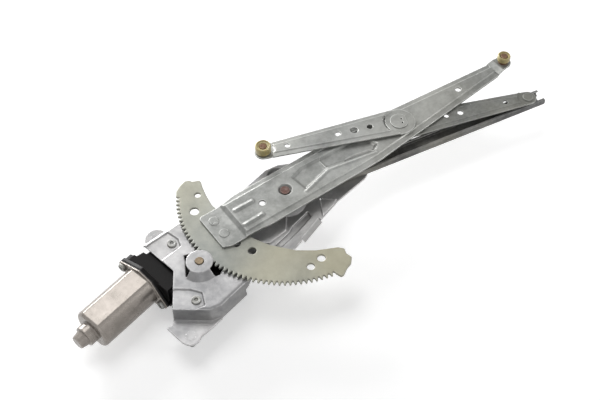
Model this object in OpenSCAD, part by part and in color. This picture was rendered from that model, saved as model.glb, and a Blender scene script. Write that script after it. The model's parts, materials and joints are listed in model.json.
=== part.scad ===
// Cross-arm window regulator with a worm-gear motor.
// The origin is on the main pivot's axis, in the plane of the door panel that the plate bolts to.
// +X runs along the guide rail, +Y is the way the glass rises and +Z points to the glass.
// All sizes are in millimetres and all angles in degrees.

/* [Linkage] */
// Distance from the cross pivot to each of the four arm ends
half_arm = 145; // [115:1:180]
// Angle of the lift arm above the rail at rest
rest_angle = 10; // [4:1:16]
// Half width of the lift arm between the sector and the cross pivot
arm_half_w = 25.5; // [21:0.5:31]
// Half width of the balance arm at the cross pivot
balance_half_w = 17; // [14:0.5:21]
// Outer diameter of the balance arm's glass roller
roller_d = 16; // [13:0.5:20]
// Height of the balance arm's glass roller
roller_h = 9; // [7:0.5:11]
// Outer diameter of the lift arm's glass roller
lift_roller_d = 13.8; // [12:0.1:17]
// Height of the lift arm's glass roller
lift_roller_h = 7; // [6:0.5:9]
// Diameter of the studs that the rollers turn on
stud_d = 6.4; // [5.4:0.1:7.6]

/* [Gear train] */
// Module of the sector gear and pinion
gear_module = 1.6; // [1.35:0.05:1.95]
// Teeth that the sector gear would have as a full circle
sector_circle_teeth = 134; // [112:1:162]
// Teeth on the pinion
pinion_teeth = 10; // [9:1:12]
// Teeth on the worm wheel
wheel_teeth = 60; // [50:1:66]
// Module of the worm and worm wheel
worm_module = 1; // [0.8:0.05:1.1]
// Direction of the pinion from the main pivot
pinion_dir = 200; // [195:1:205]

/* [Sheet metal] */
// Thickness of the base plate
plate_t = 2; // [1.5:0.1:2.5]
// Thickness of the lift arm
arm_t = 2.5; // [2:0.1:3]
// Thickness of the two balance arm halves
balance_t = 2; // [1.6:0.1:2.5]
// Thickness of the sector gear
sector_t = 3; // [2.4:0.1:3.6]
// Height of the plate's raised top above the door panel
plateau_h = 18; // [16:0.5:22]
// Height of the plate's long extension above the door panel
extension_h = 10.5; // [9:0.5:13]

/* [Guide rail] */
// Outer width of the rail
rail_w = 17; // [14:0.5:21]
// Outer height of the rail
rail_h = 7.5; // [6.5:0.1:9]
// Thickness of the rail's steel
rail_t = 1.2; // [1:0.1:1.5]
// Width of each lip that closes over the rail's open side
rail_lip = 3.4; // [2.8:0.1:4.1]
// Distance from the main pivot to the near end of the rail
rail_start = 50; // [42:1:60]

/* [Motor] */
// Diameter of the motor's steel can
can_d = 40; // [34:0.5:48]
// Distance across the can's two flats
can_flats = 34.6; // [30:0.2:42]
// Length of the can without its end boss
can_len = 67; // [54:1:78]
// Direction of the motor from the gearbox
motor_dir = 203; // [200:1:206]

/* [Hidden] */
$fn = 48;

// Long enough to cut past any piece
reach = 400;
// Overlap that keeps a cut clear of the face that it leaves
eps = 0.05;

// Gaps between sheets that slide past each other, from the plate up
sector_gap = 1;
arm_gap = 1;
rear_gap = 0.5;
// Radial clearance of a hinge pin in its bore, and end clearance of a turning piece
pin_gap = 0.05;
end_gap = 0.1;
// Radial clearance of a screw in its hole
screw_gap = 0.3;
rivet_r = 3;

// Places of the linkage's pivots at rest
cross_at = half_arm * [cos(rest_angle), sin(rest_angle)];

// Heights of the stack of sheets
sector_z = plateau_h + sector_gap;
pad_z = sector_z + sector_t;
// The arm's edges stand above its pad, and its floor above its edges
edge_step = 1;
crown = 2;
arm_floor_top = pad_z + arm_t + edge_step + crown;
arm_tip_top = arm_floor_top + arm_t;
dimple = 2.5;
dimple_r = 5.6;
washer_t = 0.5;
boss_top = arm_floor_top - arm_t - dimple - washer_t;
under_boss = boss_top - plate_t - 1;
front_pad_z = arm_floor_top + arm_gap;
front_edge_step = 1;
front_crown = 1.5;
front_edge_z = front_pad_z + front_edge_step;
rear_crown = 1;
rear_edge_z = pad_z + edge_step - rear_gap - rear_crown - balance_t;
rear_top = rear_edge_z + balance_t + rear_crown;
rail_z = extension_h;
roller_z = front_edge_z + balance_t + 1;
lift_roller_z = roller_z + 0.5;

// Pinion, sector and worm wheel
pinion_shift = 0.41;
pressure_angle = 20;
gear_backlash = 0.24;
pitch_r = gear_module * sector_circle_teeth / 2;
pinion_r = gear_module * pinion_teeth / 2;
pinion_at = (pitch_r + pinion_r) * [cos(pinion_dir), sin(pinion_dir)];
pinion_tip_r = pinion_r + gear_module * (1 + pinion_shift);
tooth_pitch = 360 / sector_circle_teeth;
sector_tip_r = pitch_r + gear_module * (1 - pinion_shift);
sector_root_r = pitch_r - gear_module * (1.25 + pinion_shift);
mesh_dir = pinion_dir - rest_angle;
teeth_before = 16;
teeth_after = 27;
shaft_d = 8;
worm_r = 5.2;
wheel_r = worm_module * wheel_teeth / 2;
worm_offset = wheel_r + worm_r;
wheel_w = 10;
worm_gap = 0.2;

// Base plate features, from the pinion's axis
screw_circle_r = 38.5;
screw_dirs = [112, 242, 357];
screw_d = 5;
screw_head_r = 4.75;
pad_drop = 1.5;
hood_r = 13;
hood_root_r = 19;
hood_z = pad_z + 1;
hood_from = 205;
hood_to = 295;
// Opening in the plate round the pinion, as radius and direction
pinion_opening = [[16, 0], [16, 30], [16, 60], [16, 95], [19.5, 119], [14.5, 140], [13.8, 165], [16, 192],
                  [19, 205], [19, 222], [19, 240], [19, 258], [19, 276], [19, 292], [22, 305], [22, 320],
                  [18, 335]];

// Main pivot and the studs that hold the plate
post_d = 8;
column_r = 7.5;
post_head_r = 4.8;
stud_bolt_d = 6;
stud_bolt_len = 14;
stud_shank_d = 6.6;
stud_head_r = 5;

// Rail and its roller
rail_end = 2 * half_arm + 13;
rail_bend = 0.6;
rail_roller_d = rail_w - 2 * rail_t - 0.8;
rail_roller_z = rail_z + rail_t + 0.3;
rail_roller_top = rail_z + rail_h - rail_t - 0.5;
rail_pin_d = 6;
// Depth of the recess in a glass roller for its stud's head
head_sink = 2.6;

// Gearbox, with places along the worm's axis counted from the worm wheel's nearest point
box_top = plateau_h - plate_t - pad_drop;
box_floor = -12;
chamber_r = wheel_r + worm_module + 1.5;
chamber_top = 7.5;
wall = 3;
cover_t = 3;
cover_dirs = [22, 75, 205, 290];
cover_lug_at = chamber_r + wall + 1;
cover_lug_r = 4.5;
cover_screw_r = 1.5;
flange_at = 42;
flange_t = 4;
flange_rim = 0.8;
ear_r = 6;
// The line through the two motor screws leans about the motor's axis, its far end up
ear_lean = 17;
screw_half_span = can_d / 2 + 6.2;
motor_screw_r = 2.5;
motor_screw_reach = 8;
tunnel_r = 8;
tunnel_from = -19;
worm_half = 14;
front_bearing_r = 7;
front_bearing_from = flange_at - 12;
front_bearing_to = flange_at - flange_t;
// Housing between the worm wheel and the motor, from its near side round its stepped far side
neck_outline = [[9, 30], [9, 0], [18, -7], [16.7, -15.4], [22, -15.8], [22, -19.6], [29.6, -21.2],
                [30, -24.5], [35.6, -24.5], [flange_at - flange_t + 1, -24], [flange_at - flange_t + 1, 30]];
neck_bottom = -14;
neck_top = 13;
// Socket of the motor's plug
socket_x = [20, 36];
socket_y = [-20, -2];
socket_deep = 12;
socket_wall = 1.5;
pin_pitch = 7;

// Motor
gasket_t = 1;
can_wall = 1.5;
can_round = 3;
can_at = flange_at + gasket_t;
can_end = can_at + can_len;
nose_len = 17.5;
armature_shaft_d = 6;
bearing_r = 6;
brush_x = can_at + 5;
core_from = can_at + 18;
core_to = can_end - 14;
core_r = min(can_d / 2 - 4, can_flats / 2 - 1.3) - can_wall;
// The magnets start clear of the can's flats
magnet_from = max(35, acos((can_flats / 2 - can_wall - 0.6) / (can_d / 2 - can_wall)));

// Base plate

plateau_outline = [[-39, 45], [1, 55], [38, 51], [48, 36], [48, -18], [31, -35], [0, -48],
                   [-10, -48], [-41, -31.5]];
// Free edge of the plate where the motor comes out, from its upper to its lower end
open_edge = [[-39, 45], [-25, 5.5], [-41, -31.5], [-46, -40]];
skirt_draft = 4;
flange_w = 2.5;
low_tab = [-35, -58];
high_tab = [-23.5, 59.5];
tab_r = 11;
// Corners of the side where the extension carries on from the raised part, below which it is open
join_corners = [[33, 44], [45, 70], [130, 70], [130, -70], [36, -55], [27, -30]];
foot_at = [6, 31];
foot_r = 8;
foot_draft = 4;
// Opening of the extension under the lift arm
window_at = [-26, 8];
window_r = 7;
stud_places = [foot_at, pinion_at + low_tab, pinion_at + high_tab];
boss_r = 15;
boss_draft = 8;
rail_rivet_places = [rail_start + 9, rail_start + 29];
panel_outline = [[-52, -10], [-54, -32], [-37, -42], [-16, -35.5], [-7, -18]];
panel_rise = 1.5;
channel_outline = [[-33, -46], [-27, -50], [-6, -41], [14, -30.5], [14, -23], [-8, -33], [-14, -38]];
channel_drop = 2;
wedge_outline = [[24, -35.5], [31, -15], [46, -23], [40, -28]];
lip_from = [-6, -49];
lip_to = [20, -34.5];
lip_drop = 4;
lip_run = 3.5;

function polar(r, a) = [r * cos(a), r * sin(a)];
function involute(a) = tan(a) * 180 / PI - a;
function pressure_at(r, base_r) = acos(min(1, base_r / r));
// Half angle of a tooth at radius r
function half_tooth(r, teeth, m, shift, slack) =
    let(base_r = m * teeth / 2 * cos(pressure_angle),
        at_pitch = (m * (PI / 2 + 2 * shift * tan(pressure_angle)) - slack) / (m * teeth) * 180 / PI)
    at_pitch + involute(pressure_angle) - involute(pressure_at(max(r, base_r), base_r));
function flank_radii(root_r, tip_r, steps) = [for (i = [0:steps]) root_r + (tip_r - root_r) * i / steps];
// Rising and falling flanks of the tooth centred on the angle a
function rise(a, teeth, m, shift, slack, radii) =
    [for (r = radii) polar(r, a - half_tooth(r, teeth, m, shift, slack))];
function fall(a, teeth, m, shift, slack, radii) =
    [for (i = [len(radii) - 1:-1:0]) polar(radii[i], a + half_tooth(radii[i], teeth, m, shift, slack))];
function flat_list(lists) = [for (l = lists) for (p = l) p];
function arc(c, r, a0, a1, n) = [for (i = [0:n]) c + polar(r, a0 + (a1 - a0) * i / n)];

module in_lift_frame()
    rotate([0, 0, rest_angle]) children();

module in_balance_frame()
    translate([cross_at[0], cross_at[1], 0]) rotate([0, 0, -rest_angle]) children();

module in_gear_frame()
    translate([pinion_at[0], pinion_at[1], 0]) children();

// X runs from the worm wheel's nearest point along the worm's axis to the motor's far end
module in_motor_frame()
    in_gear_frame() rotate([0, 0, motor_dir]) translate([0, -worm_offset, 0]) children();

module along_x() rotate([0, 90, 0]) children();

// Cylinder along X from x0 to x1
module rod_x(r, x0, x1)
    translate([x0, 0, 0]) along_x() cylinder(r = r, h = x1 - x0);

// Cylinder at p from z0 to z1
module rod(p, r, z0, z1)
    translate([p[0], p[1], z0]) cylinder(r = r, h = z1 - z0);

// Cone at p from radius r0 at z0 to radius r1 at z1
module cone(p, r0, r1, z0, z1)
    translate([p[0], p[1], z0]) cylinder(r1 = r0, r2 = r1, h = z1 - z0);

module block(x0, x1, y0, y1, z0, z1)
    translate([x0, y0, z0]) cube([x1 - x0, y1 - y0, z1 - z0]);

module slab(z0, z1)
    translate([0, 0, z0]) linear_extrude(z1 - z0) children();

// Sheet of thickness t in the outline of the first child, up to the height top. The second child
// is what the press takes off above it, and the same shape t lower is left below it
module pressed(t, top) {
    difference() {
        linear_extrude(top) children(0);
        children(1);
        translate([0, 0, -t]) difference() {
            block(-reach / 2, reach, -reach / 4, reach / 4, -1, top);
            children(1);
        }
    }
}

// Outline across the line from p to q, drawn out by len from the distance before ahead of p: its X is
// the distance to the left of the line and its Y the height above top
module across(p, q, before, len, top) {
    turn = atan2(q[1] - p[1], q[0] - p[0]);
    translate([p[0], p[1], top]) rotate([0, 0, turn]) rotate([90, 0, 90])
        translate([0, 0, -before]) linear_extrude(len) children();
}

// Removes a band along the line from p to q, with the sheet on its left: it starts inset inside the
// line at the height top, falls steeply by most of drop and then gently to the line
module band_cut(p, q, inset, drop, top) {
    steep = 0.62 * drop;
    across(p, q, 0, norm(q - p), top)
        polygon([[inset, 0], [inset - 0.75 * steep, -steep], [-inset, -2 * drop + steep],
                 [-inset, 3 * inset], [inset, 3 * inset]]);
}

// Recess below the height top inside a convex anticlockwise outline, with walls that slope in by run
module recess(outline, run, depth, top) {
    count = len(outline);
    intersection_for (i = [0:count - 1])
        across(outline[i], outline[(i + 1) % count], reach / 2, reach, top)
            polygon([[0, 0], [run, -depth], [reach / 2, -depth], [reach / 2, depth], [-run, depth]]);
}

// Everything above the height z between x0 and x1, with ends that slope outwards by run
module level_cut(x0, x1, z, run, depth) {
    translate([0, reach / 4, z])
        rotate([90, 0, 0])
            linear_extrude(reach / 2)
                polygon([[x0, 0], [x1, 0], [x1 + run, depth], [x1 + run, reach / 8],
                         [x0 - run, reach / 8], [x0 - run, depth]]);
}

// Bar with round ends of radius r0 at the origin and r1 at the distance d
module round_bar(r0, r1, d) {
    a = acos((r0 - r1) / d);
    polygon(concat(arc([0, 0], r0, a, 360 - a, 32), arc([d, 0], r1, -a, a, 20)));
}

// Stiffening bead from p to q on the level z, rounded in four levels
module bead(p, q, r, z, rise) {
    turn = atan2(q[1] - p[1], q[0] - p[0]);
    for (i = [0:3]) {
        level = r * cos(20 + 20 * i);
        slab(z - 1, z + rise * (i + 1) / 4) translate(p) rotate(turn) round_bar(level, level, norm(q - p));
    }
}

module plateau_form(inset, top) {
    hull() {
        linear_extrude(plate_t)
            offset(r = skirt_draft - inset, $fn = 24) polygon(plateau_outline);
        linear_extrude(top - 1)
            offset(r = 3.5 - inset, $fn = 24) offset(delta = -2) polygon(plateau_outline);
        linear_extrude(top)
            offset(delta = -1 - inset) polygon(plateau_outline);
    }
}

// Sunk seats for the gearbox screws. Two of them run out over the free edge
module seat_outline() {
    polygon([[-60, 38], [-13, 50], [-7, 38], [-8, 29], [-32, 21], [-60, 21]]);
    polygon([[-60, -14], [-31, -14], [-18, -21], [-10, -29], [-13, -43], [-60, -43]]);
    translate(polar(screw_circle_r, screw_dirs[2])) circle(8.5);
}

module flange_outline() {
    offset(delta = skirt_draft + flange_w) polygon(plateau_outline);
    translate(low_tab) circle(tab_r - 1);
    polygon([[-52, -41], [-45, -61], low_tab + polar(tab_r - 1, 250), [-12, -58.5], [0, -53],
             [0, -30], [-40, -34]]);
    translate(high_tab) circle(tab_r);
    translate(high_tab + [-tab_r, -20]) square([2 * tab_r, 20]);
}

module raised_part() {
    difference() {
        union() {
            linear_extrude(plate_t) flange_outline();
            plateau_form(0, plateau_h);
        }
        difference() {
            translate([0, 0, -eps]) plateau_form(plate_t, plateau_h - plate_t + eps);
            slab(box_top, plateau_h) offset(delta = plate_t) seat_outline();
        }
        slab(box_top + plate_t, plateau_h + eps) seat_outline();
        slab(-1, extension_h - plate_t) polygon(join_corners);
        slab(plateau_h - 2 * plate_t, plateau_h + eps)
            polygon([for (p = pinion_opening) polar(p[0], p[1])]);
        for (a = screw_dirs)
            rod(polar(screw_circle_r, a), screw_d / 2 + screw_gap, box_top - eps, plateau_h + eps);
        slab(-1, plateau_h + 1) polygon(concat(open_edge, [[-90, -40], [-90, 60]]));
    }
}

// Hood over the pinion, drawn up out of the plate on the side away from the sector
module hood() {
    foot_z = plateau_h - plate_t;
    difference() {
        intersection() {
            cone([0, 0], hood_root_r + 2, hood_r, foot_z, hood_z + plate_t);
            slab(foot_z, hood_z + plate_t)
                polygon(concat([[0, 0]], arc([0, 0], 2 * hood_root_r, hood_from, hood_to, 8)));
        }
        cone([0, 0], hood_root_r, hood_r - 2, foot_z - eps, hood_z);
    }
    rod([0, 0], hood_r, hood_z, hood_z + plate_t);
}

module extension_outline() {
    join = pinion_at + [40, 0];
    polygon([join + [0, 56], [-28, 33], [-14, 39], [-3, 43.5], [12, 44.5], [26, 40],
             [rail_start + 12, 18], [rail_start + 39, 8], [rail_start + 39, -8],
             [rail_start + 33, -12], [46, -25], [21, -38], lip_to, lip_from, [-7, -52.5], [-18, -58],
             join + [-8, -33]]);
}

// Sloping edge of the extension
module lip() {
    turn = atan2(lip_to[1] - lip_from[1], lip_to[0] - lip_from[0]);
    translate([lip_from[0], lip_from[1], extension_h])
        rotate([0, 0, turn]) rotate([90, 0, 90])
            linear_extrude(norm(lip_to - lip_from))
                polygon([[1, 0], [1, -plate_t], [0, -plate_t], [-lip_run, -lip_drop - plate_t],
                         [-lip_run - 1, -lip_drop - plate_t / 2], [0, 0]]);
}

module extension_relief(grow, drop) {
    slab(extension_h - 1, extension_h + panel_rise - drop) offset(delta = -grow) {
        polygon(panel_outline);
        polygon(wedge_outline);
    }
    cone([0, 0], boss_r + boss_draft - grow / 2, boss_r - grow, extension_h - plate_t - drop,
         boss_top - drop);
}

module extension() {
    low = extension_h - plate_t;
    difference() {
        union() {
            slab(low, extension_h) extension_outline();
            slab(low - channel_drop, extension_h) offset(delta = 1.5) polygon(channel_outline);
            extension_relief(0, 0);
            lip();
            cone(foot_at, foot_r, foot_r + foot_draft, 0, extension_h);
        }
        translate([0, 0, -1]) extension_relief(plate_t, plate_t - 1);
        slab(extension_h - channel_drop, extension_h + eps) polygon(channel_outline);
        cone(foot_at, foot_r - 1, foot_r + foot_draft - 1, plate_t, extension_h + eps);
        rod(window_at, window_r, -1, extension_h + 1);
        for (x = rail_rivet_places) rod([x, 0], rivet_r, 0, reach);
        slab(-1, plateau_h) translate(pinion_at) polygon(plateau_outline);
    }
}

module base_plate() {
    color("gainsboro") difference() {
        union() {
            in_gear_frame() raised_part();
            extension();
        }
        for (p = stud_places) rod(p, stud_shank_d / 2, -1, plate_t + 1);
        rod([0, 0], column_r - 2, under_boss, boss_top + 1);
    }
    color("gainsboro") in_gear_frame() difference() {
        hood();
        rod([0, 0], shaft_d / 2 + pin_gap, 0, reach);
    }
}

module panel_studs()
    color("darkgray") for (p = stud_places) {
        rod(p, stud_bolt_d / 2, -stud_bolt_len, eps);
        rod(p, stud_shank_d / 2, 0, plate_t + eps);
        rod(p, stud_head_r, plate_t, plate_t + 1);
    }

module pivot_post() {
    color("rosybrown") {
        rod([0, 0], column_r + 3.5, 0, plate_t);
        rod([0, 0], column_r, 0, boss_top - plate_t);
        rod([0, 0], column_r - 2, 0, boss_top);
        rod([0, 0], post_d / 2, 0, boss_top + washer_t + arm_t + 0.5);
        rod([0, 0], post_head_r, boss_top + washer_t + arm_t + end_gap,
            boss_top + washer_t + arm_t + 1.5);
    }
}

module pivot_washer()
    color("darkgray") difference() {
        rod([0, 0], 10, boss_top, boss_top + washer_t - eps);
        rod([0, 0], post_d / 2, 0, reach);
    }

// Guide rail

// Half of the rail's outline, from its floor to its lip and back along the inside
function rail_side() =
    let(outer = rail_bend + rail_t, c = rail_w / 2 - outer, up = rail_h - outer, lip_x = rail_w / 2 - rail_lip)
    concat(arc([c, outer], outer, -90, 0, 4), arc([c, up], outer, 0, 90, 4),
           [[lip_x, rail_h], [lip_x, rail_h - rail_t]],
           arc([c, up], rail_bend, 90, 0, 4), arc([c, outer], rail_bend, 0, -90, 4));

module rail_profile() {
    side = rail_side();
    polygon(concat(side, [for (i = [len(side) - 1:-1:0]) [-side[i][0], side[i][1]]]));
}

module guide_rail()
    color("silver") difference() {
        translate([rail_start, 0, rail_z])
            rotate([90, 0, 90]) linear_extrude(rail_end - rail_start) rail_profile();
        for (x = rail_rivet_places) rod([x, 0], rivet_r, 0, rail_z + rail_t + 1);
        // Notch in the floor at the far end
        rod([rail_end + 3, 0], rail_w / 2 - rail_t - 1, 0, rail_z + rail_t + 1);
    }

module rail_rivets()
    color("gray") for (x = rail_rivet_places) {
        rod([x, 0], rivet_r, extension_h - plate_t, rail_z + rail_t);
        cone([x, 0], 5.5, 4.5, rail_z + rail_t, rail_z + rail_t + 1.2);
        cone([x, 0], 4.5, 5.5, extension_h - plate_t - 1.2, extension_h - plate_t);
    }

// Gearbox

module can_profile(inset)
    intersection() {
        circle(can_d / 2 - inset);
        square([can_flats - 2 * inset, can_d], center = true);
    }

module along_x_slab(x0, x1)
    translate([x0, 0, 0]) along_x() linear_extrude(x1 - x0) children();

// Outline across the motor's axis that the housing, gasket and can meet on, with an ear for each screw
module lug_flange(grow) {
    half = can_d / 2 + flange_rim + grow;
    shoulder = 0.4 * can_d / 2;
    ear = ear_r + grow;
    run = [half, shoulder - screw_half_span];
    turn = atan2(run[1], run[0]) + acos(ear / norm(run));
    rotate(-ear_lean) polygon(concat(arc([0, screw_half_span], ear, turn, 180 - turn, 12), [[-half, shoulder], [-half, -shoulder]],
                   arc([0, -screw_half_span], ear, 180 + turn, 360 - turn, 12),
                   [[half, -shoulder], [half, shoulder]]));
}

module at_motor_screws()
    rotate([-ear_lean, 0, 0]) for (s = [-1, 1]) translate([0, s * screw_half_span, 0]) children();

module housing_body() {
    tunnel_half = tunnel_r + wall;
    in_gear_frame() {
        rod([0, 0], chamber_r + wall, box_floor - 1, chamber_top + wall);
        rod([0, 0], 10, chamber_top, box_top);
        for (a = screw_dirs) rod(polar(screw_circle_r, a), screw_d / 2 + wall, -4, box_top);
        for (a = cover_dirs) rod(polar(cover_lug_at, a), cover_lug_r, box_floor - 1, -1);
    }
    in_motor_frame() {
        block(tunnel_from - 8, flange_at - 1, -tunnel_half, tunnel_half, -tunnel_half, tunnel_half);
        slab(neck_bottom, neck_top) polygon(neck_outline);
        at_motor_screws() rod_x(ear_r - 1.5, flange_at - motor_screw_reach - 3, flange_at - 1);
        along_x_slab(flange_at - flange_t, flange_at) lug_flange(0);
        // Socket of the plug, on the side that faces the door
        block(socket_x[0], socket_x[1], socket_y[0], socket_y[1], neck_bottom - socket_deep + 2, neck_bottom + 1);
    }
}

module pin_blocks(z0, z1) {
    x = (socket_x[0] + socket_x[1]) / 2;
    y = (socket_y[0] + socket_y[1]) / 2;
    for (s = [-1, 1]) translate([x, y + s * pin_pitch / 2, 0]) block(-0.4, 0.4, -1.4, 1.4, z0, z1);
}

module gearbox_housing() {
    pin_root = neck_bottom + 4.5;
    color([0.12, 0.12, 0.13]) difference() {
        housing_body();
        in_gear_frame() {
            rod([0, 0], chamber_r, box_floor - 3, chamber_top);
            // Room for the cover
            rod([0, 0], chamber_r + wall + 0.8, box_floor - 4, box_floor);
            for (a = cover_dirs) rod(polar(cover_lug_at, a), cover_lug_r + 0.8, box_floor - 4, box_floor);
            rod([0, 0], shaft_d / 2 + pin_gap, 0, box_top + 1);
            for (a = screw_dirs) rod(polar(screw_circle_r, a), screw_d / 2, 9, box_top + 1);
            for (a = cover_dirs) rod(polar(cover_lug_at, a), cover_screw_r, box_floor - 1, -5);
        }
        in_motor_frame() {
            rod_x(tunnel_r, tunnel_from, front_bearing_from + eps);
            rod_x(armature_shaft_d / 2 + pin_gap, tunnel_from - 6, 0);
            rod_x(front_bearing_r, front_bearing_from, front_bearing_to);
            rod_x(15, front_bearing_to, flange_at + 1);
            at_motor_screws() rod_x(motor_screw_r, flange_at - motor_screw_reach - 0.5, flange_at + 1);
            block(socket_x[0] + socket_wall, socket_x[1] - socket_wall, socket_y[0] + socket_wall,
                  socket_y[1] - socket_wall, neck_bottom - socket_deep, neck_bottom - 0.5);
            pin_blocks(neck_bottom - 1, pin_root);
        }
    }
}

module gearbox_cover()
    color([0.18, 0.18, 0.19]) in_gear_frame() difference() {
        union() {
            rod([0, 0], chamber_r + wall, box_floor - cover_t, box_floor);
            for (a = cover_dirs) rod(polar(cover_lug_at, a), cover_lug_r, box_floor - cover_t, box_floor);
            rod([0, 0], 9, box_floor - cover_t - 1.5, box_floor + 3);
        }
        rod([0, 0], shaft_d / 2 + pin_gap, box_floor - 1.5, 0);
        for (a = cover_dirs) rod(polar(cover_lug_at, a), cover_screw_r + screw_gap, -reach / 2, 0);
        for (a = [0:30:330])
            rotate([0, 0, a]) block(12, chamber_r - 3, -0.8, 0.8, box_floor - cover_t - 1,
                                    box_floor - cover_t + 1);
    }

// Round head with a six-point recess, and its shank below, with the underside of the head at z
module screw(head_r, head_h, shank_r, shank_len)
    difference() {
        union() {
            cone([0, 0], head_r, head_r - 0.6, head_h * 0.5, head_h);
            rod([0, 0], head_r, 0, head_h * 0.5);
            rod([0, 0], shank_r, -shank_len, eps);
        }
        slab(head_h * 0.35, head_h + 1) {
            circle(head_r * 0.45, $fn = 6);
            rotate(30) circle(head_r * 0.45, $fn = 6);
        }
    }

module cover_screws()
    color("dimgray") in_gear_frame() for (a = cover_dirs)
        translate([cover_lug_at * cos(a), cover_lug_at * sin(a), box_floor - cover_t])
            mirror([0, 0, 1]) screw(3, 2, cover_screw_r, cover_t + 6);

module gearbox_screws()
    color("gray") in_gear_frame() for (a = screw_dirs)
        translate([screw_circle_r * cos(a), screw_circle_r * sin(a), box_top + plate_t])
            screw(screw_head_r, 2, screw_d / 2, box_top + plate_t - 9.5);

// Motor

module motor_gasket()
    color([0.08, 0.08, 0.08]) in_motor_frame() difference() {
        along_x_slab(flange_at, can_at) lug_flange(-0.5);
        along_x_slab(flange_at - 1, can_at + 1) can_profile(can_wall - 0.4);
        at_motor_screws() rod_x(motor_screw_r + screw_gap, 0, reach);
    }

// Half outline of a cup along X, from its open end at x0 to its rounded end at x1
function cup_side(half, x0, x1, r) = concat([[x0, half]], arc([x1 - r, half - r], r, 90, 0, 6));

module cup(inset, x0, x1, r) {
    shell = cup_side(can_d / 2 - inset, x0, x1, r);
    flat = cup_side(can_flats / 2 - inset, x0, x1, r);
    intersection() {
        along_x() rotate_extrude()
            polygon(concat([[0, x0]], [for (p = shell) [p[1], p[0]]], [[0, x1]]));
        rotate([90, 0, 0]) linear_extrude(can_d + 1, center = true)
            polygon(concat(flat, [for (i = [len(flat) - 1:-1:0]) [flat[i][0], -flat[i][1]]]));
    }
}

module motor_can()
    color([0.8, 0.79, 0.77]) in_motor_frame() difference() {
        union() {
            along_x_slab(can_at, can_at + can_wall) lug_flange(0);
            cup(0, can_at, can_end, can_round);
            rod_x(10.5, can_end - 1, can_end + 9);
            translate([can_end + 8, 0, 0]) along_x() cylinder(r1 = 8.5, r2 = 6.6, h = nose_len - 8);
        }
        cup(can_wall, can_at - 1, can_end - can_wall - 0.7, can_round - can_wall);
        rod_x(bearing_r, 0, can_end + 13);
        at_motor_screws() rod_x(motor_screw_r + screw_gap, 0, reach);
    }

module motor_screws()
    color("darkgray") in_motor_frame() at_motor_screws()
        translate([can_at + can_wall, 0, 0]) along_x()
            screw(4.5, 3, motor_screw_r, can_wall + gasket_t + motor_screw_reach);

module magnets()
    color([0.22, 0.22, 0.24]) in_motor_frame() for (s = [0, 180])
        along_x_slab(can_at + 16, can_end - 12)
            rotate(s) difference() {
                polygon(concat([[0, 0]], arc([0, 0], can_d / 2 - can_wall, magnet_from, 180 - magnet_from, 16)));
                circle(can_d / 2 - can_wall - 3.2);
            }

module rear_bearing()
    color("darkgoldenrod") in_motor_frame() difference() {
        rod_x(bearing_r, can_end + 5, can_end + 13);
        rod_x(armature_shaft_d / 2 + pin_gap, 0, reach);
    }

module front_bearing()
    color("darkgoldenrod") in_motor_frame() difference() {
        rod_x(front_bearing_r, front_bearing_from, front_bearing_to);
        rod_x(armature_shaft_d / 2 + pin_gap, 0, reach);
    }

module brush_holder()
    color([0.75, 0.72, 0.62]) in_motor_frame() difference() {
        union() {
            along_x_slab(flange_at, flange_at + 4) can_profile(can_wall + 0.1);
            for (s = [0, 180]) rotate([s, 0, 0]) block(flange_at + 3, brush_x + 6, 9, 15, -4, 4);
        }
        rod_x(9, 0, flange_at + 5);
        for (s = [0, 180]) rotate([s, 0, 0]) block(brush_x, brush_x + 5, 8, 14, -2.5, 2.5);
    }

module brushes()
    color([0.25, 0.22, 0.2]) in_motor_frame()
        for (s = [0, 180]) rotate([s, 0, 0]) block(brush_x, brush_x + 5, 8.4, 14, -2.5, 2.5);

module connector_pins()
    color("darkgoldenrod") in_motor_frame() pin_blocks(neck_bottom - socket_deep + 4, neck_bottom + 4.5);

module armature_shaft() {
    body_r = worm_r - worm_gap;
    end_r = armature_shaft_d / 2;
    color("lightgray") in_motor_frame() {
        rod_x(end_r, tunnel_from - 5.5, can_end + 12.5);
        rod_x(body_r, -worm_half, worm_half);
        translate([-worm_half - 2, 0, 0]) along_x() cylinder(r1 = end_r, r2 = body_r, h = 2);
        translate([worm_half, 0, 0]) along_x() cylinder(r1 = body_r, r2 = end_r, h = 2);
    }
}

module core_outline(r)
    difference() {
        circle(r);
        for (a = [0:36:324]) rotate(a) {
            translate([r - 7, -1.6]) square([5.5, 3.2]);
            translate([r - 3, -0.7]) square([4, 1.4]);
        }
    }

module armature_core()
    color([0.55, 0.55, 0.56]) in_motor_frame() difference() {
        along_x_slab(core_from, core_to) core_outline(core_r);
        rod_x(armature_shaft_d / 2, 0, reach);
    }

module armature_windings()
    color([0.72, 0.36, 0.18]) in_motor_frame() {
        difference() {
            for (x = [core_from - 5, core_to]) rod_x(core_r - 2, x, x + 5);
            rod_x(armature_shaft_d / 2, 0, reach);
        }
        for (a = [0:36:324]) rotate([a, 0, 0]) block(core_from, core_to, -1.6, 1.6, core_r - 7, core_r - 3);
    }

module commutator()
    color([0.7, 0.42, 0.25]) in_motor_frame() difference() {
        rod_x(8, can_at + 3, core_from - 5);
        rod_x(armature_shaft_d / 2, 0, reach);
        for (a = [0:36:324]) rotate([a, 0, 0]) block(can_at + 2, can_at + 11, -0.3, 0.3, 6.5, 9);
    }

module worm_wheel()
    color([0.86, 0.83, 0.72]) in_gear_frame() difference() {
        union() {
            rod([0, 0], wheel_r - worm_gap, -wheel_w / 2, wheel_w / 2);
            rod([0, 0], 9.5, -8.5, chamber_top - 0.5);
        }
        for (z = [-wheel_w / 2 - 1, wheel_w / 2 - 3]) difference() {
            rod([0, 0], wheel_r - 5, z, z + 4);
            rod([0, 0], 11, z, z + 4);
            for (a = [0:60:300]) rotate([0, 0, a]) block(0, reach / 8, -1.5, 1.5, z, z + 4);
        }
        rod([0, 0], shaft_d / 2, -reach / 8, reach / 8);
    }

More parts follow.
